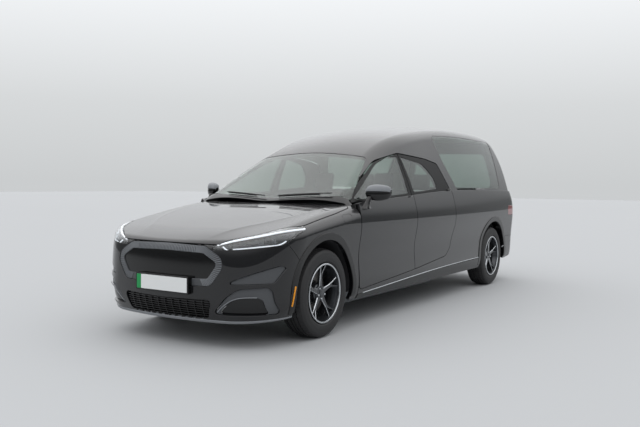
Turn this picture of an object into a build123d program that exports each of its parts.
from build123d import *
import math
import os

os.makedirs("parts", exist_ok=True)

# A four-door electric hearse. X is across the car with +X at its left side, the nose faces -Y,
# Z is up from the ground, and the origin is on the ground under the middle of the body.

# Driving sizes in millimetres
WHEELBASE = 3980
FRONT_OVERHANG = 930
REAR_OVERHANG = 990
HALF_WIDTH = 938
HEIGHT = 1950
TYRE_RADIUS = 364
TYRE_WIDTH = 225
RIM_RADIUS = 246
WHEEL_FACE = 908
ARCH_RADIUS = 432
SHUT_GAP = 8
SWING_GAP = 16
FRAME_GAP = 14
SEAT_GAP = 0.45
LINER_X = 480
RAIL_X = 355
RAIL_WIDTH = 50
TUB_Z = 600
TUB_LENGTH = 900
TUB_HIGH = 180
TUB_WALL = 20
MOULDING = 62
MOULDING_PROUD = 7
FIN_X = 892
VENT_DEPTH = 14
PANEL_INSET = 11
RING_INSET = 7
RING_WIDTH = 58
SLAT = 6
SLAT_PITCH = 18
DOOR_WALL = 105
FLANGE = 26
FLANGE_STEP = 20
FRAME_WALL = 34
FRONT_WALL = 36
BONNET_WALL = 30
GLASS = 5
GLASS_INSET = 3
ROOF_WALL = 64
FRAME_DEPTH = 40
FRAME_STEP = 30
WINDOW_SEAL = 0.4
DOOR_FRONT = 545
B_LINE = 1690
DOOR_REAR = 2700
BUMPER_LINE = 500
FLOOR_Z = 300
FLOOR_THICK = 30
SILL_Z = 246
DECK_Z = 850
TAILGATE_BOTTOM = 596
TAIL_HINGE_Z = 1860
KINGPIN_X = 740
BONNET_EDGE_Z = 796
HUB_FACE = 690
LINER = 12

# The axles and the ends follow from the driving sizes
LENGTH = FRONT_OVERHANG + WHEELBASE + REAR_OVERHANG
NOSE = -LENGTH / 2
TAIL = LENGTH / 2
FA = NOSE + FRONT_OVERHANG
RA = FA + WHEELBASE
MID = (FA + RA) / 2
WHEEL_X = WHEEL_FACE - TYRE_WIDTH / 2
TAIL_HINGE_Y = RA + 661
FAR = 1400


# Plan outlines of the lower body, one row a height:
# height, nose setback, nose bow, inboard at front, middle and rear, tail setback, tail bow, corner radii
LOWER_LEVELS = (
    (180, 84, 120, 120, 92, 118, 120, 40, 300, 240),
    (300, 28, 140, 46, 40, 46, 60, 45, 340, 250),
    (440, 14, 150, 24, 28, 26, 25, 50, 370, 260),
    (640, 18, 150, 22, 38, 18, 5, 50, 390, 270),
    (920, 86, 150, 12, 4, 0, 8, 50, 420, 280),
    (1060, 180, 150, 34, 30, 10, 28, 50, 420, 280),
    (1210, 300, 150, 90, 72, 50, 72, 50, 420, 280),
)
# The same columns for the tail of the cabin
UPPER_LEVELS = (
    (1000, 300, 150, -60, -64, -60, 90, 55, 420, 250),
    (1200, 300, 150, -60, -64, -20, 118, 55, 420, 240),
    (1450, 300, 150, -60, -64, 70, 130, 60, 420, 230),
    (1650, 300, 150, -60, -64, 150, 185, 65, 420, 230),
    (1800, 300, 150, -60, -64, 210, 285, 70, 420, 230),
    (HEIGHT + 30, 300, 150, -60, -64, 260, 480, 80, 420, 230),
)
# Sections of the cabin: place, half width at the waist, half width and height of the roof rail, crown height
CABIN_SECTIONS = (
    (FA + 330, 900, 800, 1032, 1062),
    (FA + 780, 938, 745, 1272, 1305),
    (FA + 1240, 942, 640, 1525, 1562),
    (FA + 1800, 940, 630, 1722, 1778),
    (FA + 2400, 938, 636, 1815, 1880),
    (RA - 980, 936, 650, 1862, 1934),
    (RA - 280, 936, 655, 1872, HEIGHT),
    (RA + 320, 928, 650, 1852, 1932),
    (RA + 900, 906, 640, 1800, 1880),
)
# Sections of the bonnet and wings: place, height at the centre, at the shoulder, and out past the side
BONNET_SECTIONS = (
    (NOSE - 60, 752, 735, 640),
    (FA - 780, 838, 822, 740),
    (FA - 480, 918, 902, 812),
    (FA, 1012, 992, 880),
    (FA + 520, 1090, 1066, 950),
    (FA + 820, 1130, 1100, 1000),
)
SHOULDER_X = 830
CABIN_FOOT = 900
# The waist line from the windscreen to the tail: place, height
WAIST = (
    (FA + DOOR_FRONT - 200, 1070),
    (FA + DOOR_FRONT, 1088),
    (FA + 900, 1108),
    (FA + B_LINE, 1146),
    (FA + DOOR_REAR, 1190),
    (RA - 500, 1192),
    (RA + 720, 1172),
    (TAIL + 40, 1166),
)


def plan_loft(levels, inset, corner_share=0.5):
    """A closed form through plan outlines, each a bowed nose and tail between bowed sides."""
    with BuildPart() as form:
        for z, nose, bow, front_in, mid_in, rear_in, tail, tail_bow, nose_r, tail_r in levels:
            front_x = HALF_WIDTH - front_in - inset
            mid_x = HALF_WIDTH - mid_in - inset
            rear_x = HALF_WIDTH - rear_in - inset
            y_nose = NOSE + nose + inset
            y_tail = TAIL - tail - inset
            front_y = y_nose + bow
            rear_y = y_tail - tail_bow
            with BuildSketch(Plane.XY.offset(z)) as outline:
                with BuildLine():
                    ThreePointArc((-front_x, front_y), (0, y_nose), (front_x, front_y))
                    ThreePointArc((front_x, front_y), (mid_x, MID), (rear_x, rear_y))
                    ThreePointArc((rear_x, rear_y), (0, y_tail), (-rear_x, rear_y))
                    ThreePointArc((-rear_x, rear_y), (-mid_x, MID), (-front_x, front_y))
                make_face()
                fillet(outline.vertices().sort_by(Axis.Y)[:2], nose_r - inset * corner_share)
                fillet(outline.vertices().sort_by(Axis.Y)[-2:], tail_r - inset * corner_share)
        loft()
    return form.part


def cabin_loft(inset):
    """The glasshouse: leaning sides, rounded rails and a crowned roof, from the cowl to the tail."""
    with BuildPart() as form:
        for y, foot_x, rail_x, rail_z, crown_z in CABIN_SECTIONS:
            foot = foot_x - inset
            rail = rail_x - inset
            side_z = rail_z - inset * 0.8
            top_z = crown_z - inset
            lean = (foot_x - rail_x) * 0.06 + 4
            mid_x = (foot + rail) / 2 + lean
            mid_z = (CABIN_FOOT + side_z) / 2
            radius = min(75, (side_z - CABIN_FOOT) * 0.5)
            with BuildSketch(Plane((0, y, 0), x_dir=(1, 0, 0), z_dir=(0, -1, 0))) as section:
                with BuildLine():
                    Line((-foot, CABIN_FOOT), (foot, CABIN_FOOT))
                    ThreePointArc((foot, CABIN_FOOT), (mid_x, mid_z), (rail, side_z))
                    ThreePointArc((rail, side_z), (0, top_z), (-rail, side_z))
                    ThreePointArc((-rail, side_z), (-mid_x, mid_z), (-foot, CABIN_FOOT))
                make_face()
                rails = section.vertices().filter_by(lambda v: v.Z > CABIN_FOOT + 1)
                fillet(rails, radius)
        loft()
    return form.part


def bonnet_loft(drop):
    """Everything below the crowned bonnet and the falling shoulders of the wings."""
    with BuildPart() as form:
        for y, centre, shoulder, outer in BONNET_SECTIONS:
            with BuildSketch(Plane((0, y, 0), x_dir=(1, 0, 0), z_dir=(0, -1, 0))) as section:
                with BuildLine():
                    ThreePointArc((-SHOULDER_X, shoulder - drop), (0, centre - drop), (SHOULDER_X, shoulder - drop))
                    Line((SHOULDER_X, shoulder - drop), (1010, outer - drop))
                    Polyline((1010, outer - drop), (1010, 100), (-1010, 100), (-1010, outer - drop))
                    Line((-1010, outer - drop), (-SHOULDER_X, shoulder - drop))
                make_face()
                shoulders = section.vertices().filter_by(lambda v: abs(abs(v.X) - SHOULDER_X) < 1)
                fillet(shoulders, 150)
        loft()
    return form.part


# Side outlines, as place along the car, height and corner radius
FRONT_DOOR = (
    (FA + DOOR_FRONT + 10, 326, 50),
    (FA + DOOR_FRONT, 700, 900),
    (FA + DOOR_FRONT + 4, 1102, 20),
    (FA + 800, 1262, 400),
    (FA + 1240, 1474, 500),
    (FA + B_LINE, 1562, 12),
    (FA + B_LINE, 406, 12),
)
REAR_DOOR = (
    (FA + B_LINE, 1562, 12),
    (FA + DOOR_REAR - 450, 1520, 900),
    (FA + DOOR_REAR - 200, 1478, 60),
    (FA + DOOR_REAR - 50, 1235, 60),
    (FA + DOOR_REAR, 1150, 200),
    (FA + DOOR_REAR - 10, 800, 200),
    (FA + DOOR_REAR - 90, 560, 120),
    (FA + DOOR_REAR - 230, 478, 60),
    (FA + B_LINE, 406, 12),
)
FRONT_WINDOW = (
    (FA + 590, 1112, 10),
    (FA + 817, 1232, 400),
    (FA + 1245, 1446, 400),
    (FA + 1500, 1520, 200),
    (FA + B_LINE - 32, 1524, 14),
    (FA + B_LINE - 60, 1160, 14),
)
REAR_WINDOW = (
    (FA + B_LINE + 34, 1524, 14),
    (FA + DOOR_REAR - 560, 1462, 300),
    (FA + DOOR_REAR - 400, 1330, 150),
    (FA + DOOR_REAR - 350, 1206, 40),
    (FA + B_LINE + 70, 1172, 20),
)
DECK_WINDOW = (
    (FA + DOOR_REAR + 170, 1208, 40),
    (FA + DOOR_REAR - 20, 1500, 400),
    (FA + DOOR_REAR - 120, 1790, 60),
    (RA - 700, 1812, 4000),
    (RA + 436, 1800, 60),
    (RA + 446, 1530, 900),
    (RA + 380, 1208, 60),
)
BUMPER_SIDE = (
    (NOSE - 60, 100, 10),
    (NOSE - 60, 900, 10),
    (FA - BUMPER_LINE - 60, 900, 10),
    (FA - BUMPER_LINE, 780, 60),
    (FA - 330, 600, 60),
    (FA - 330, 100, 10),
)
HEADLAMP = (
    (NOSE - 20, 742, 10),
    (FA - 766, 768, 60),
    (FA - 546, 794, 60),
    (FA - 426, 852, 60),
    (FA - 236, 922, 12),
    (FA - 642, 940, 60),
    (NOSE - 20, 870, 10),
)
# Plan outlines, as place across the car, along it, and corner radius
BONNET = (
    (0, NOSE + 34, 900),
    (452, NOSE + 62, 60),
    (719, FA - 652, 300),
    (866, FA - 300, 300),
    (862, FA + 215, 900),
    (846, FA + 455, 60),
    (790, FA + 494, 60),
    (0, FA + 372, 900),
)
WINDSCREEN = (
    (0, FA + 394, 3000),
    (806, FA + 562, 30),
    (606, FA + 1200, 30),
    (0, FA + 1240, 3000),
)
# Rear and front outlines, as place across the car, height and corner radius
TAILGATE = (
    (600, TAILGATE_BOTTOM, 60),
    (700, 800, 120),
    (716, 1180, 300),
    (560, 1760, 60),
    (560, 2000, 10),
)
TAIL_WINDOW = (
    (600, 1216, 50),
    (500, 1690, 60),
    (0, 1700, 900),
)
GRILLE = (
    (0, 790, 3000),
    (380, 780, 90),
    (576, 668, 90),
    (440, 478, 90),
    (0, 462, 3000),
)
LOWER_GRILLE = (
    (0, 366, 3000),
    (450, 380, 30),
    (400, 232, 30),
    (0, 222, 3000),
)
# The bumper's pockets on its left side: the corner vent and the recess over it
VENT = (
    (446, 266, 20),
    (562, 400, 120),
    (655, 466, 120),
    (815, 478, 30),
    (838, 450, 60),
    (858, 300, 40),
    (846, 266, 20),
)
RECESS = (
    (547, 498, 12),
    (896, 648, 20),
    (843, 505, 20),
)
# Pull fins at the belt of the front and the rear door: place, height
FINS = {"front": (FA + 1605, 1132), "rear": (FA + 2610, 1196)}


def corners_of(rows, halved=False):
    """The corner points of an outline, with the mirrored half where only the left is given."""
    left = [(a, b) for a, b, radius in rows]
    return left + [(-a, b) for a, b in reversed(left) if a > 0] if halved else left


def radii_of(rows, halved=False):
    """Each corner's radius, no larger than its two sides leave room for."""
    wanted = [radius for a, b, radius in rows]
    if halved:
        wanted += [radius for a, b, radius in reversed(rows) if a > 0]
    points = corners_of(rows, halved)
    fitted = []
    for i, radius in enumerate(wanted):
        corner = Vector(*points[i])
        before = Vector(*points[i - 1]) - corner
        after = Vector(*points[(i + 1) % len(points)]) - corner
        half_turn = math.radians(180 - before.get_angle(after)) / 2
        room = 0.48 * min(before.length, after.length) / math.tan(half_turn)
        fitted.append(min(radius, room))
    return fitted


def side_block(rows, x_from, x_to, grow=0):
    """A block through the car's side, from a side outline."""
    with BuildPart() as block:
        with BuildSketch(Plane.YZ.offset(x_from)):
            with BuildLine():
                FilletPolyline(corners_of(rows), radius=radii_of(rows), close=True)
            make_face()
            if grow:
                offset(amount=grow, kind=Kind.INTERSECTION)
        extrude(amount=x_to - x_from)
    return block.part


def plan_block(rows, z_from, z_to, grow=0):
    """An upright block from a plan outline given for the car's left half."""
    with BuildPart() as block:
        with BuildSketch(Plane.XY.offset(z_from)):
            with BuildLine():
                FilletPolyline(corners_of(rows, True), radius=radii_of(rows, True), close=True)
            make_face()
            if grow:
                offset(amount=grow, kind=Kind.INTERSECTION)
        extrude(amount=z_to - z_from)
    return block.part


def end_block(rows, y_from, y_to, grow=0):
    """A block along the car from an outline seen from its end, given for the car's left half."""
    with BuildPart() as block:
        with BuildSketch(Plane((0, y_from, 0), x_dir=(1, 0, 0), z_dir=(0, -1, 0))):
            with BuildLine():
                FilletPolyline(corners_of(rows, True), radius=radii_of(rows, True), close=True)
            make_face()
            if grow:
                offset(amount=grow, kind=Kind.INTERSECTION)
        extrude(amount=y_from - y_to)
    return block.part


def end_pair(rows, y_from, y_to):
    """Two blocks along the car, from the outline of the left one seen from the nose."""
    with BuildPart() as blocks:
        with BuildSketch(Plane((0, y_from, 0), x_dir=(1, 0, 0), z_dir=(0, -1, 0))):
            with BuildLine():
                FilletPolyline(corners_of(rows), radius=radii_of(rows), close=True)
            make_face()
            mirror(about=Plane.YZ)
        extrude(amount=y_from - y_to)
    return blocks.part


def save(part, name):
    """Labels a finished piece and writes it under its own name."""
    part.label = name
    export_step(part, f"parts/{name}.step")


def mirrored(part):
    """The same piece for the car's right side."""
    with BuildPart() as other:
        mirror(part, about=Plane.YZ)
    return other.part


def below(line, floor_z=100):
    """Everything under a line of places and heights, across the whole car."""
    with BuildPart() as block:
        with BuildSketch(Plane.YZ.offset(-FAR)):
            with BuildLine():
                Polyline(line)
                Polyline(line[-1], (line[-1][0], floor_z), (line[0][0], floor_z), line[0])
            make_face()
        extrude(amount=2 * FAR)
    return block.part


# The forms that the panels are cut from
lower_form = plan_loft(LOWER_LEVELS, 0)
lower_flange = plan_loft(LOWER_LEVELS, FLANGE)
lower_thin = plan_loft(LOWER_LEVELS, FRONT_WALL)
lower_inner = plan_loft(LOWER_LEVELS, DOOR_WALL)
waist_block = below(WAIST)
door_plane = FA + DOOR_FRONT


def cabin_form(inset):
    """The cabin above the waist, its tail rounded off, drawn in by an inset."""
    with BuildPart() as form:
        add(cabin_loft(inset))
        add(plan_loft(UPPER_LEVELS, inset), mode=Mode.INTERSECT)
        add(waist_block, mode=Mode.SUBTRACT)
    return form.part


cabin_outer = cabin_form(0)
cabin_step = cabin_form(FRAME_DEPTH)
cabin_frame = cabin_form(FRAME_WALL)
cabin_inner = cabin_form(ROOF_WALL)
glass_outer = cabin_form(GLASS_INSET)
glass_inner = cabin_form(GLASS_INSET + GLASS)
bonnet_top = bonnet_loft(0)
bonnet_under = bonnet_loft(BONNET_WALL)

# The bottom edge rises from the chin to the sills and on to the tail
BOTTOM = (
    (NOSE - 60, 186),
    (FA - 520, 214),
    (FA + 200, SILL_Z),
    (RA - 200, SILL_Z + 14),
    (RA + 480, 300),
    (TAIL + 60, 356),
)
bottom_block = below(BOTTOM)

with BuildPart() as wheel_bores:
    for axle_y in (FA, RA):
        with BuildSketch(Plane.YZ.offset(-FAR)):
            with Locations((axle_y, TYRE_RADIUS)):
                Circle(ARCH_RADIUS)
        extrude(amount=FAR - HUB_FACE + 210)
        with BuildSketch(Plane.YZ.offset(FAR)):
            with Locations((axle_y, TYRE_RADIUS)):
                Circle(ARCH_RADIUS)
        extrude(amount=-(FAR - HUB_FACE + 210))

with BuildPart() as tailgate_block:
    add(end_block(TAILGATE, RA + 560, TAIL + 60))
    with BuildSketch(Plane.YZ.offset(-FAR)):
        with BuildLine():
            Polyline(
                (TAIL_HINGE_Y - 300, TAIL_HINGE_Z - 300),
                (TAIL_HINGE_Y + 300, TAIL_HINGE_Z + 300),
                (TAIL_HINGE_Y - 900, TAIL_HINGE_Z + 600),
                (TAIL_HINGE_Y - 900, TAIL_HINGE_Z - 300),
                close=True,
            )
        make_face()
    extrude(amount=2 * FAR, mode=Mode.SUBTRACT)

# Mouldings that stand proud of the body round the wheel arches
moulding_face = plan_loft(LOWER_LEVELS, -MOULDING_PROUD)
mouldings = []
for axle_y in (FA, RA):
    with BuildPart() as moulding:
        with BuildSketch(Plane.YZ.offset(-FAR)):
            with Locations((axle_y, TYRE_RADIUS)):
                Circle(ARCH_RADIUS + MOULDING)
                Circle(ARCH_RADIUS, mode=Mode.SUBTRACT)
        extrude(amount=2 * FAR)
        add(moulding_face, mode=Mode.INTERSECT)
        add([lower_flange, bottom_block], mode=Mode.SUBTRACT)
    mouldings.append(moulding.part)

# Lower side of the body behind the front doors' leading edge
with BuildPart() as lower_skin:
    with BuildSketch(Plane.XY.offset(100)):
        with Locations((0, (door_plane + TAIL + 100) / 2)):
            Rectangle(2 * FAR, TAIL + 100 - door_plane)
    extrude(amount=2 * FAR)
    add(lower_form, mode=Mode.INTERSECT)
    add(lower_inner, mode=Mode.SUBTRACT)
    add(waist_block, mode=Mode.INTERSECT)
    add([bottom_block, wheel_bores.part], mode=Mode.SUBTRACT)
    add(mouldings[1])

door_holes = [side_block(door, -FAR, FAR, -FLANGE_STEP) for door in (FRONT_DOOR, REAR_DOOR)]
with BuildPart() as rebate:
    add([side_block(door, -FAR, FAR, SHUT_GAP / 2) for door in (FRONT_DOOR, REAR_DOOR)])
    add(lower_flange, mode=Mode.SUBTRACT)
door_holes.append(rebate.part)

with BuildPart() as tailgate_gap:
    add(end_block(TAILGATE, RA + 560, TAIL + 60, SHUT_GAP))
    with BuildSketch(Plane.YZ.offset(-FAR)):
        with BuildLine():
            Polyline(
                (TAIL_HINGE_Y - 306, TAIL_HINGE_Z - 294),
                (TAIL_HINGE_Y + 294, TAIL_HINGE_Z + 306),
                (TAIL_HINGE_Y - 900, TAIL_HINGE_Z + 600),
                (TAIL_HINGE_Y - 900, TAIL_HINGE_Z - 300),
                close=True,
            )
        make_face()
    extrude(amount=2 * FAR, mode=Mode.SUBTRACT)

# The black sills under the doors, the rear bumper and the tail lamps leave the shell
with BuildPart() as skirt_block:
    with BuildSketch(Plane.YZ.offset(-FAR)):
        with BuildLine():
            Polyline(
                (door_plane, 200), (door_plane, 288), (FA + 1164, 312), (FA + 2145, 353),
                (RA - ARCH_RADIUS + 20, 380), (RA - ARCH_RADIUS + 20, 200), close=True,
            )
        make_face()
    extrude(amount=2 * FAR)
    add(lower_thin, mode=Mode.SUBTRACT)
with BuildPart() as rear_bumper_block:
    with BuildSketch(Plane.YZ.offset(-FAR)):
        with BuildLine():
            Polyline(
                (RA + 330, 100), (RA + 330, 470), (RA + 480, TAILGATE_BOTTOM - SHUT_GAP),
                (TAIL + 60, TAILGATE_BOTTOM - SHUT_GAP), (TAIL + 60, 100), close=True,
            )
        make_face()
    extrude(amount=2 * FAR)
with BuildPart() as tail_lamp_block:
    for sign in (1, -1):
        with BuildSketch(Plane.XZ.offset(-RA - 620)):
            with Locations((sign * (724 + 300), 925)):
                RectangleRounded(600, 120, 24)
        extrude(amount=-700)
    add(lower_thin, mode=Mode.SUBTRACT)

with BuildPart() as body_shell:
    add(lower_skin.part)
    add([*door_holes, tailgate_gap.part], mode=Mode.SUBTRACT)
    add([skirt_block.part, rear_bumper_block.part, tail_lamp_block.part], mode=Mode.SUBTRACT)
save(body_shell.part, "body_shell")

with BuildPart() as side_skirts:
    add(lower_skin.part)
    add(skirt_block.part, mode=Mode.INTERSECT)
save(side_skirts.part, "side_skirts")
with BuildPart() as rear_bumper:
    add(lower_skin.part)
    add(rear_bumper_block.part, mode=Mode.INTERSECT)
save(rear_bumper.part, "rear_bumper")
with BuildPart() as tail_lamps:
    add(tail_lamp_block.part)
    add(lower_form, mode=Mode.INTERSECT)
save(tail_lamps.part, "tail_lamps")

frame_holes = [side_block(door, -FAR, FAR, -FRAME_STEP) for door in (FRONT_DOOR, REAR_DOOR)]
with BuildPart() as rebate:
    add([side_block(door, -FAR, FAR, FRAME_GAP / 2) for door in (FRONT_DOOR, REAR_DOOR)])
    add(cabin_step, mode=Mode.SUBTRACT)
frame_holes.append(rebate.part)

roof_holes = [
    plan_block(BONNET, 900, 1300, SHUT_GAP),
    plan_block(WINDSCREEN, 900, HEIGHT),
    side_block(DECK_WINDOW, -FAR, FAR),
]
with BuildPart() as cabin_skin:
    add(cabin_outer)
    add(cabin_inner, mode=Mode.SUBTRACT)
with BuildPart() as roof_shell:
    add(cabin_skin.part)
    add([*frame_holes, *roof_holes, tailgate_gap.part], mode=Mode.SUBTRACT)
save(roof_shell.part, "roof_shell")

with BuildPart() as glass_skin:
    add(glass_outer)
    add(glass_inner, mode=Mode.SUBTRACT)

with BuildPart() as windscreen:
    add(glass_skin.part)
    add(plan_block(WINDSCREEN, 900, HEIGHT, -WINDOW_SEAL), mode=Mode.INTERSECT)
save(windscreen.part, "windscreen")

with BuildPart() as deck_windows:
    add(glass_skin.part)
    add(side_block(DECK_WINDOW, -FAR, FAR, -WINDOW_SEAL), mode=Mode.INTERSECT)
save(deck_windows.part, "deck_windows")

# Doors, each a rebated lower box with a window frame on it
for end, outline, window in (("front", FRONT_DOOR, FRONT_WINDOW), ("rear", REAR_DOOR, REAR_WINDOW)):
    with BuildPart() as door:
        add(side_block(outline, 500, FAR, -SHUT_GAP / 2))
        add(lower_form, mode=Mode.INTERSECT)
        add(lower_inner, mode=Mode.SUBTRACT)
        add(waist_block, mode=Mode.INTERSECT)
        with BuildPart(mode=Mode.PRIVATE) as surround:
            add(lower_flange)
            add(side_block(outline, 400, FAR, -FLANGE_STEP - SWING_GAP), mode=Mode.SUBTRACT)
        add(surround.part, mode=Mode.SUBTRACT)
        with BuildPart(mode=Mode.PRIVATE) as frame:
            add(side_block(outline, 500, FAR, -FRAME_GAP / 2))
            add(side_block(window, 400, FAR), mode=Mode.SUBTRACT)
            add(cabin_outer, mode=Mode.INTERSECT)
            add(cabin_frame, mode=Mode.SUBTRACT)
        add(frame.part)
        fin_y, fin_z = FINS[end]
        with BuildSketch(Plane.YZ.offset(840)):
            with BuildLine():
                FilletPolyline(
                    (fin_y - 70, fin_z - 12),
                    (fin_y + 44, fin_z - 8),
                    (fin_y + 44, fin_z + 12),
                    (fin_y - 30, fin_z + 8),
                    radius=4,
                    close=True,
                )
            make_face()
        extrude(amount=FIN_X - 840)
    save(door.part, f"door_{end}_left")
    save(mirrored(door.part), f"door_{end}_right")
    with BuildPart() as pane:
        add(side_block(window, 500, FAR, -WINDOW_SEAL))
        add(glass_skin.part, mode=Mode.INTERSECT)
    save(pane.part, f"glass_{end}_left")
    save(mirrored(pane.part), f"glass_{end}_right")

# Tailgate with its rebated lower box, frame and window
with BuildPart() as tailgate:
    for skin in (lower_skin, cabin_skin):
        with BuildPart(mode=Mode.PRIVATE) as half:
            add(tailgate_block.part)
            add(skin.part, mode=Mode.INTERSECT)
        add(half.part)
    add(end_block(TAIL_WINDOW, RA + 560, TAIL + 60), mode=Mode.SUBTRACT)
save(tailgate.part, "tailgate")
with BuildPart() as tail_glass:
    add(end_block(TAIL_WINDOW, RA + 600, TAIL + 60, -WINDOW_SEAL))
    add(glass_skin.part, mode=Mode.INTERSECT)
save(tail_glass.part, "tailgate_glass")

# Nose: the skin that the bonnet, wings, bumper and lamps are cut from
with BuildPart() as nose_form:
    add(lower_form)
    add(bonnet_top, mode=Mode.INTERSECT)
    add(bottom_block, mode=Mode.SUBTRACT)
with BuildPart() as nose_skin:
    add(nose_form.part)
    with BuildPart(mode=Mode.PRIVATE) as nose_hollow:
        add(lower_thin)
        add(bonnet_under, mode=Mode.INTERSECT)
    add([nose_hollow.part, wheel_bores.part], mode=Mode.SUBTRACT)
    add(mouldings[0])
    with BuildSketch(Plane.XY):
        with Locations((0, (door_plane - SHUT_GAP + NOSE - 100) / 2)):
            Rectangle(2 * FAR, door_plane - SHUT_GAP - NOSE + 100)
    extrude(amount=2 * FAR, mode=Mode.INTERSECT)

lip_block = below(((NOSE - 60, 214), (FA - 700, 228), (FA - ARCH_RADIUS + 40, 262)))
bonnet_block = plan_block(BONNET, BONNET_EDGE_Z, 1300)
bonnet_clear = plan_block(BONNET, 600, 1300, SHUT_GAP)
lamp_block = side_block(HEADLAMP, 446, FAR)
lamp_clear = side_block(HEADLAMP, 440, FAR, SEAT_GAP)
bumper_block = side_block(BUMPER_SIDE, -FAR, FAR)
bumper_clear = side_block(BUMPER_SIDE, -FAR, FAR, 1)

with BuildPart() as bonnet:
    add(nose_skin.part)
    add(bonnet_block, mode=Mode.INTERSECT)
save(bonnet.part, "bonnet")

with BuildPart() as wing:
    with BuildSketch(Plane.XY):
        with Locations((FAR / 2 + 300, 0)):
            Rectangle(FAR, 3 * LENGTH)
    extrude(amount=2 * FAR)
    add(nose_skin.part, mode=Mode.INTERSECT)
    add([bumper_clear, bonnet_clear, lamp_clear], mode=Mode.SUBTRACT)
    mirror(about=Plane.YZ)
save(wing.part, "front_wings")

openings = [end_block(outline, NOSE - 60, NOSE + 500) for outline in (GRILLE, LOWER_GRILLE)]
with BuildPart() as pockets:
    add([end_pair(outline, NOSE - 60, FA - BUMPER_LINE) for outline in (VENT, RECESS)])
    add(plan_loft(LOWER_LEVELS, VENT_DEPTH), mode=Mode.SUBTRACT)
with BuildPart() as bumper:
    add(nose_skin.part)
    add(bumper_block, mode=Mode.INTERSECT)
    add([bonnet_clear, lamp_clear, mirrored(lamp_clear), lip_block, *openings, pockets.part], mode=Mode.SUBTRACT)
save(bumper.part, "front_bumper")

with BuildPart() as headlamps:
    add(lamp_block)
    add(nose_skin.part, mode=Mode.INTERSECT)
    add(bonnet_clear, mode=Mode.SUBTRACT)
    mirror(about=Plane.YZ)
save(headlamps.part, "headlamps")

with BuildPart() as front_lip:
    add(nose_skin.part)
    add(bumper_block, mode=Mode.INTERSECT)
    add(lip_block, mode=Mode.INTERSECT)
save(front_lip.part, "front_lip")

# The closed upper panel carries a raised bean-shaped ring, the lower opening level slats
nose_plane = Plane((0, NOSE - 60, 0), x_dir=(1, 0, 0), z_dir=(0, -1, 0))
with BuildPart() as ring_block:
    add(end_block(GRILLE, NOSE - 60, NOSE + 500, -WINDOW_SEAL))
    add(end_block(GRILLE, NOSE - 60, NOSE + 500, -RING_WIDTH), mode=Mode.SUBTRACT)
with BuildPart() as slats:
    with BuildSketch(nose_plane):
        with Locations((0, 297)):
            with GridLocations(1, SLAT_PITCH, 1, 8):
                Rectangle(1000, SLAT)
    extrude(amount=-560)
    add(end_block(LOWER_GRILLE, NOSE - 60, NOSE + 500, -WINDOW_SEAL), mode=Mode.INTERSECT)

panel_face = plan_loft(LOWER_LEVELS, PANEL_INSET)
ring_face = plan_loft(LOWER_LEVELS, RING_INSET)
for name, outline, raised in (("grille_panel", GRILLE, ring_block), ("lower_grille", LOWER_GRILLE, slats)):
    with BuildPart() as panel:
        add(end_block(outline, NOSE - 60, NOSE + 500, -WINDOW_SEAL))
        add(panel_face, mode=Mode.INTERSECT)
        with BuildPart(mode=Mode.PRIVATE) as relief:
            add(raised.part)
            add(ring_face, mode=Mode.INTERSECT)
        add(relief.part)
        add(lower_thin, mode=Mode.SUBTRACT)
    save(panel.part, name)

# Number plate on its carrier, which follows the bumper's bow
with BuildPart() as front_plate:
    with BuildSketch(Plane.XZ.offset(-NOSE)):
        with Locations((0, 476)):
            RectangleRounded(560, 128, 8)
    extrude(amount=-12)
    with BuildSketch(Plane.XZ.offset(-NOSE - 12)):
        with Locations((0, 450)):
            RectangleRounded(500, 60, 8)
    extrude(amount=-90)
    add(lower_form, mode=Mode.SUBTRACT)
save(front_plate.part, "front_plate")

# Door mirrors: a swept-back head on a foot that stands on the door's shoulder
mirror_y = FA + 780
with BuildPart() as door_mirror:
    for x, y, long, high in (
        (872, mirror_y - 20, 120, 96),
        (930, mirror_y - 10, 140, 142),
        (1000, mirror_y + 40, 120, 140),
        (1046, mirror_y + 92, 60, 96),
    ):
        with BuildSketch(Plane.YZ.offset(x)):
            with Locations((y, 1176)):
                RectangleRounded(long, high, 0.42 * min(long, high))
    loft()
    with BuildSketch(Plane.XY.offset(1030)):
        with Locations((905, mirror_y - 40)):
            RectangleRounded(70, 110, 24)
    extrude(amount=110)
    add(lower_form, mode=Mode.SUBTRACT)
    add(cabin_outer, mode=Mode.SUBTRACT)
save(door_mirror.part, "mirror_left")
save(mirrored(door_mirror.part), "mirror_right")

# Wheels: each is built on the X axis, its face towards +X
SPOKES = 5
DISC_RADIUS = 178
HUB_RADIUS = 34
RIM_WIDTH = TYRE_WIDTH - 8


def tyre_at(x, y, outward):
    """A low tyre with rounded shoulders and bulged walls, open inside where the rim sits."""
    half = TYRE_WIDTH / 2
    with BuildPart() as tyre:
        with BuildSketch(Plane.XY):
            with BuildLine():
                Polyline(
                    (-half + 16, RIM_RADIUS), (-half, RIM_RADIUS + 38), (-half + 8, TYRE_RADIUS - 24),
                    (-half + 34, TYRE_RADIUS - 2), (0, TYRE_RADIUS), (half - 34, TYRE_RADIUS - 2),
                    (half - 8, TYRE_RADIUS - 24), (half, RIM_RADIUS + 38), (half - 16, RIM_RADIUS),
                    (half - 34, RIM_RADIUS), (half - 22, RIM_RADIUS + 40), (half - 44, TYRE_RADIUS - 16),
                    (-half + 44, TYRE_RADIUS - 16), (-half + 22, RIM_RADIUS + 40), (-half + 34, RIM_RADIUS),
                    close=True,
                )
            make_face()
        revolve(axis=Axis.X)
    with BuildPart() as placed:
        with Locations(Location((x, y, TYRE_RADIUS), (0, 0, 0 if outward > 0 else 180))):
            add(tyre.part)
    return placed.part


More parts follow.
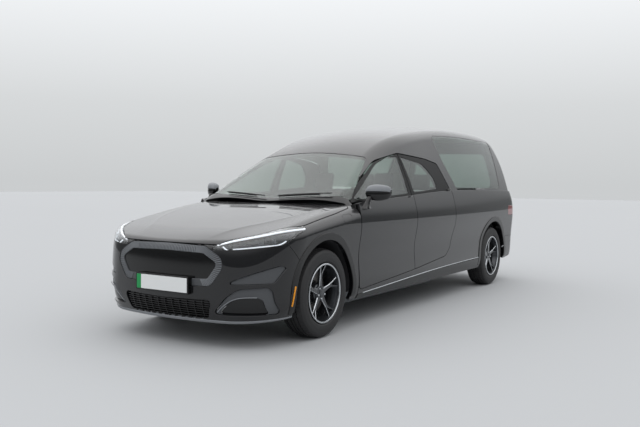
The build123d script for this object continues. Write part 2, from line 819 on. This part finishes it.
def rim_at(x, y, outward):
    """A cast rim: a barrel, five forked spokes on a hub, a plain cap, and the brake disc behind."""
    half = RIM_WIDTH / 2
    with BuildPart() as rim:
        with BuildSketch(Plane.XY):
            with BuildLine():
                Polyline(
                    (half, RIM_RADIUS - 0.5), (half, RIM_RADIUS - 22), (half - 24, RIM_RADIUS - 26),
                    (half - 60, RIM_RADIUS - 40), (-half + 20, RIM_RADIUS - 34), (-half, RIM_RADIUS - 22),
                    (-half, RIM_RADIUS - 0.5), (-half + 24, RIM_RADIUS - 0.5), (-half + 36, RIM_RADIUS - 16),
                    (half - 46, RIM_RADIUS - 22), (half - 24, RIM_RADIUS - 0.5),
                    close=True,
                )
            make_face()
        revolve(axis=Axis.X)
        with BuildSketch(Plane.YZ.offset(half - 62)):
            Circle(64)
        extrude(amount=34)
        with BuildSketch(Plane.YZ.offset(half - 44)):
            Circle(32)
        extrude(amount=24)
        with BuildSketch(Plane.YZ.offset(half - 52)):
            with PolarLocations(0, SPOKES, 90):
                with BuildLine():
                    Polyline(
                        (40, -34), (96, -30), (RIM_RADIUS - 24, -72), (RIM_RADIUS - 24, -26), (132, 0),
                        (RIM_RADIUS - 24, 26), (RIM_RADIUS - 24, 72), (96, 30), (40, 34),
                        close=True,
                    )
                make_face()
        extrude(amount=34)
        with BuildSketch(Plane.YZ.offset(-40)):
            Circle(DISC_RADIUS)
        extrude(amount=26)
        with BuildSketch(Plane.YZ.offset(-14)):
            Circle(74)
        extrude(amount=half - 48 + 14)
        with BuildSketch(Plane.YZ.offset(-60)):
            Circle(HUB_RADIUS + 22)
        extrude(amount=20)
    with BuildPart() as placed:
        with Locations(Location((x, y, TYRE_RADIUS), (0, 0, 0 if outward > 0 else 180))):
            add(rim.part)
    return placed.part


for corner, x, y in (
    ("front_left", WHEEL_X, FA),
    ("front_right", -WHEEL_X, FA),
    ("rear_left", WHEEL_X, RA),
    ("rear_right", -WHEEL_X, RA),
):
    save(tyre_at(x, y, x), f"tyre_{corner}")
    save(rim_at(x, y, x), f"rim_{corner}")

# Front knuckles: an upright with its bearing housing, steering arm and brake caliper
with BuildPart() as knuckle:
    with BuildSketch(Plane.YZ.offset(KINGPIN_X - 30)):
        with Locations((FA, TYRE_RADIUS)):
            Circle(50)
    extrude(amount=WHEEL_X - 60 - SEAT_GAP - KINGPIN_X + 30)
    with BuildSketch(Plane.YZ.offset(KINGPIN_X - 40)):
        with BuildLine():
            Polyline(
                (FA - 26, TYRE_RADIUS - 130), (FA + 26, TYRE_RADIUS - 130), (FA + 50, TYRE_RADIUS),
                (FA + 22, TYRE_RADIUS + 120), (FA - 22, TYRE_RADIUS + 120), (FA - 50, TYRE_RADIUS),
                close=True,
            )
        make_face()
    extrude(amount=26)
    with BuildSketch(Plane.YZ.offset(KINGPIN_X - 40)):
        with BuildLine():
            Polyline((FA + 30, TYRE_RADIUS - 40), (FA + 150, TYRE_RADIUS - 46), (FA + 150, TYRE_RADIUS - 22),
                     (FA + 30, TYRE_RADIUS + 20), close=True)
        make_face()
    extrude(amount=24)
    with BuildSketch(Plane.YZ.offset(WHEEL_X - 77)):
        with Locations((FA + 142, TYRE_RADIUS + 30)):
            Rectangle(74, 150)
    extrude(amount=32)
    with BuildSketch(Plane.YZ.offset(KINGPIN_X - 40)):
        with Locations((FA + 92, TYRE_RADIUS + 30)):
            Rectangle(120, 40)
    extrude(amount=24)
save(knuckle.part, "knuckle_left")
save(mirrored(knuckle.part), "knuckle_right")

# Wheel liners: half rings over the wheels with an inner wall
with BuildPart() as wheel_liners:
    for axle_y, wall in ((FA, FRONT_WALL), (RA, DOOR_WALL)):
        with BuildPart(mode=Mode.PRIVATE) as half_ring:
            with BuildSketch(Plane.YZ.offset(LINER_X)):
                with Locations((axle_y, TYRE_RADIUS)):
                    Circle(ARCH_RADIUS + 2 + LINER)
                    Circle(ARCH_RADIUS + 2, mode=Mode.SUBTRACT)
                with Locations((axle_y, 0)):
                    Rectangle(1200, 2 * (FLOOR_Z + FLOOR_THICK + 2), mode=Mode.SUBTRACT)
            extrude(amount=FAR - LINER_X)
            add(plan_loft(LOWER_LEVELS, wall + SEAT_GAP), mode=Mode.INTERSECT)
        add(half_ring.part)
        with BuildSketch(Plane.YZ.offset(LINER_X)):
            with Locations((axle_y, TYRE_RADIUS)):
                Circle(ARCH_RADIUS + 4)
            with Locations((axle_y, 0)):
                Rectangle(1200, 2 * 560, mode=Mode.SUBTRACT)
        extrude(amount=LINER)
    mirror(about=Plane.YZ)
save(wheel_liners.part, "wheel_liners")

# Floor: one stepped pan from the dash panel to the tail
floor_front = FA + DOOR_FRONT + 6
floor_step = RA - 560
REAR_FLOOR_Z = 560
with BuildPart() as floor_pan:
    with BuildSketch(Plane.YZ.offset(-FAR)):
        with BuildLine():
            Polyline(
                (floor_front, FLOOR_Z), (floor_step, FLOOR_Z), (floor_step, REAR_FLOOR_Z),
                (TAIL - 230, REAR_FLOOR_Z), (TAIL - 230, REAR_FLOOR_Z + FLOOR_THICK),
                (floor_step - FLOOR_THICK, REAR_FLOOR_Z + FLOOR_THICK),
                (floor_step - FLOOR_THICK, FLOOR_Z + FLOOR_THICK),
                (floor_front + 20, FLOOR_Z + FLOOR_THICK), (floor_front + 20, 1000), (floor_front, 1000),
                close=True,
            )
        make_face()
    extrude(amount=2 * FAR)
    add(lower_inner, mode=Mode.INTERSECT)
    for x in (LINER_X - SEAT_GAP, -LINER_X + SEAT_GAP):
        with BuildSketch(Plane.YZ.offset(x)):
            with Locations((RA, TYRE_RADIUS)):
                Circle(ARCH_RADIUS + 2 + LINER + SEAT_GAP)
        extrude(amount=math.copysign(FAR, x), mode=Mode.SUBTRACT)
save(floor_pan.part, "floor_pan")

# Battery under the floor, and the two drive motors, as plain blocks
BATTERY_Z = 152
with BuildPart() as battery_pack:
    with BuildSketch(Plane.XY.offset(BATTERY_Z)):
        with Locations((0, FA + 1750)):
            RectangleRounded(1220, 2150, 60)
    extrude(amount=FLOOR_Z - BATTERY_Z)
save(battery_pack.part, "battery_pack")

# Front subframe: a cross member, posts up to the tub, rails, and the arms that carry the knuckles
rail_front = NOSE + 330
ARM_Z = TYRE_RADIUS - 130 - SEAT_GAP
TOP_ARM_Z = TYRE_RADIUS + 120 + SEAT_GAP
with BuildPart() as front_subframe:
    with BuildSketch(Plane.XY.offset(ARM_Z - 40)):
        with Locations((0, FA)):
            RectangleRounded(760, 300, 40)
    extrude(amount=60)
    for z, base_half, thick in ((ARM_Z - 28, 120, 28), (TOP_ARM_Z, 60, 22)):
        for sign in (1, -1):
            with BuildSketch(Plane.XY.offset(z)):
                with BuildLine():
                    Polyline(
                        (sign * 340, FA - base_half), (sign * 560, FA - 34), (sign * 732, FA - 18),
                        (sign * 732, FA + 18), (sign * 560, FA + 34), (sign * 340, FA + base_half),
                        close=True,
                    )
                make_face()
            extrude(amount=thick)
    for sign in (1, -1):
        with BuildSketch(Plane.XY.offset(ARM_Z)):
            with Locations((sign * RAIL_X, FA)):
                RectangleRounded(RAIL_WIDTH, 130, 12)
        extrude(amount=TUB_Z - SEAT_GAP - ARM_Z)
        with BuildSketch(Plane.XY.offset(TYRE_RADIUS + 30)):
            with Locations((sign * RAIL_X, (floor_front + rail_front) / 2)):
                Rectangle(RAIL_WIDTH, floor_front - SEAT_GAP - rail_front)
        extrude(amount=80)
save(front_subframe.part, "front_subframe")

with BuildPart() as rear_subframe:
    with BuildSketch(Plane.XY.offset(ARM_Z - 30)):
        with Locations((0, RA)):
            RectangleRounded(760, 420, 60)
    extrude(amount=60)
    with BuildSketch(Plane.XY.offset(ARM_Z)):
        with Locations((0, RA)):
            with GridLocations(660, 300, 2, 2):
                RectangleRounded(50, 60, 12)
    extrude(amount=REAR_FLOOR_Z - SEAT_GAP - ARM_Z)
    for sign in (1, -1):
        with BuildSketch(Plane.XY.offset(ARM_Z - 20)):
            with BuildLine():
                Polyline(
                    (sign * 340, RA - 150), (sign * 720, RA - 40), (sign * 720, RA + 40), (sign * 340, RA + 150),
                    close=True,
                )
            make_face()
        extrude(amount=40)
        with BuildSketch(Plane.XY.offset(ARM_Z + 20)):
            with Locations((sign * 700, RA)):
                RectangleRounded(38, 90, 10)
        extrude(amount=240)
        with BuildSketch(Plane.YZ.offset(sign * (WHEEL_X - 60 - SEAT_GAP))):
            with Locations((RA, TYRE_RADIUS)):
                Circle(50)
        extrude(amount=-sign * 60)
        with BuildSketch(Plane.YZ.offset(sign * 690)):
            with Locations((RA + 105, TYRE_RADIUS + 10)):
                Rectangle(150, 60)
        extrude(amount=sign * 24)
        with BuildSketch(Plane.YZ.offset(sign * (WHEEL_X - 92))):
            with Locations((RA + 146, TYRE_RADIUS + 10)):
                Rectangle(66, 130)
        extrude(amount=sign * 46)
save(rear_subframe.part, "rear_subframe")

with BuildPart() as drive_motors:
    for y, width, long, z in ((FA, 480, 340, ARM_Z + 20), (RA, 520, 380, ARM_Z + 30)):
        with BuildSketch(Plane.XY.offset(z)):
            with Locations((0, y)):
                RectangleRounded(width, long, 60)
        extrude(amount=250)
save(drive_motors.part, "drive_motors")

# Open tub under the bonnet
with BuildPart() as front_tub:
    for wall, corner in ((0, 60), (TUB_WALL, 50)):
        with BuildSketch(Plane.XY.offset(TUB_Z + wall)):
            with Locations((0, FA - 130)):
                RectangleRounded(2 * (LINER_X - SEAT_GAP - wall), TUB_LENGTH - 2 * wall, corner)
        extrude(amount=TUB_HIGH, mode=Mode.SUBTRACT if wall else Mode.ADD)
save(front_tub.part, "front_tub")

# Dashboard across the cabin, from its side outline
DASH = (
    (floor_front + 20, 700, 20),
    (floor_front + 20, 1000, 10),
    (floor_front + 150, 1062, 60),
    (floor_front + 380, 1050, 60),
    (floor_front + 450, 960, 60),
    (floor_front + 330, 760, 80),
)
with BuildPart() as dashboard:
    add(side_block(DASH, -735, 735))
    with BuildSketch(Plane((-370, floor_front + 380, 906), x_dir=(1, 0, 0), z_dir=(0, 0.9, 0.436))):
        Circle(34)
    extrude(amount=115.5)
save(dashboard.part, "dashboard")

with BuildPart() as steering_wheel:
    hub_plane = Plane((-370, floor_front + 484, 956.2), x_dir=(1, 0, 0), z_dir=(0, 0.9, 0.436))
    with BuildSketch(hub_plane.offset(SEAT_GAP)):
        Circle(52)
        Rectangle(330, 44)
        with Locations((0, -80)):
            Rectangle(44, 160)
    extrude(amount=24)
    with BuildSketch(hub_plane.offset(-4)):
        Circle(186)
        Circle(158, mode=Mode.SUBTRACT)
    extrude(amount=30)
save(steering_wheel.part, "steering_wheel")

# Seats, from side outlines; the rear one is a bench
seat_y = FA + 1330
SEAT_PROFILE = (
    (0, FLOOR_Z + FLOOR_THICK, 10), (0, 470, 60), (30, 590, 50), (430, 560, 40), (620, 1140, 60),
    (700, 1180, 30), (735, 1150, 40), (560, 540, 60), (520, FLOOR_Z + FLOOR_THICK, 10),
)
for name, half, y, places in (("front_seats", 255, seat_y, (-370, 370)), ("rear_bench", 640, seat_y + 960, (0,))):
    with BuildPart() as seat:
        for x in places:
            add(side_block([(y + a, b, r) for a, b, r in SEAT_PROFILE], x - half, x + half))
        for head_x in (-370, 370):
            with BuildSketch(Plane((head_x, y + 672, 1160), x_dir=(1, 0, 0), z_dir=(0, 0.3, 0.954))):
                RectangleRounded(230, 70, 30)
            extrude(amount=190)
    save(seat.part, name)

# Deck board with its front panel, rails and rollers
deck_front = seat_y + 960 + 790
deck_rear = TAIL - 240
with BuildPart() as deck_board:
    with BuildSketch(Plane.YZ.offset(-FAR)):
        with BuildLine():
            Polyline(
                (deck_front, FLOOR_Z + FLOOR_THICK), (deck_front, DECK_Z), (deck_rear, DECK_Z),
                (deck_rear, DECK_Z - 28), (deck_front + 22, DECK_Z - 28),
                (deck_front + 22, FLOOR_Z + FLOOR_THICK), close=True,
            )
        make_face()
    extrude(amount=2 * FAR)
    add(lower_inner, mode=Mode.INTERSECT)
save(deck_board.part, "deck_board")

RAIL_HIGH = 42
with BuildPart() as deck_rollers:
    for sign in (1, -1):
        with BuildSketch(Plane.XY.offset(DECK_Z)):
            with Locations((sign * 270, (deck_front + deck_rear) / 2)):
                RectangleRounded(34, deck_rear - deck_front - 160, 10)
        extrude(amount=RAIL_HIGH)
    roller_count = 5
    for i in range(roller_count):
        y = deck_front + 260 + i * (deck_rear - deck_front - 520) / (roller_count - 1)
        with BuildSketch(Plane.YZ.offset(-260)):
            with Locations((y, DECK_Z + RAIL_HIGH - SEAT_GAP - 19)):
                Circle(19)
        extrude(amount=520)
save(deck_rollers.part, "deck_rollers")
